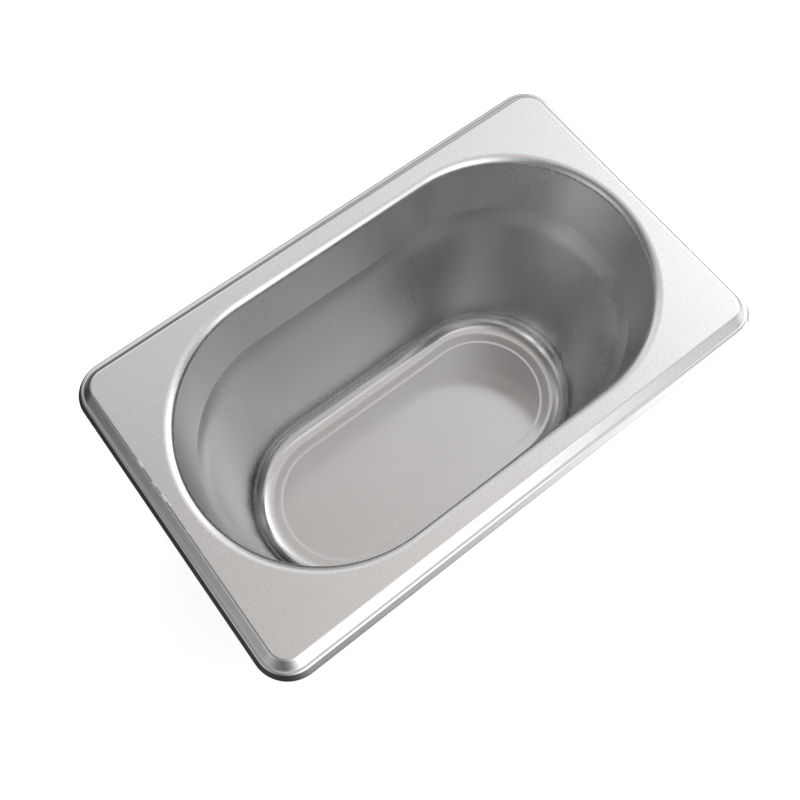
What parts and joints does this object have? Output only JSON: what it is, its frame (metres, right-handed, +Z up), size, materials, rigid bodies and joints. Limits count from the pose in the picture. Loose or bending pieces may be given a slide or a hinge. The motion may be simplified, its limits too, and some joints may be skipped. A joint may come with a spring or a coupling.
{
  "type": "gastronorm pan",
  "caption": "One-piece pressed stainless-steel pan: long round-ended tapered well with a stacking shoulder, and a flat rectangular flange with a stepped turned-down rim.",
  "frame": {"origin": "centre of the footprint, on the underside of the base panel that the pan stands on", "axes": "+X along the long side, +Y across the short side, +Z up out of the well's mouth"},
  "size_m": [0.176, 0.108, 0.1],
  "materials": {
    "stainless_sheet": "fine satin, not lacquered"
  },
  "bodies": {
    "root": {"pan_body": "stainless_sheet"}
  },
  "joints": []
}
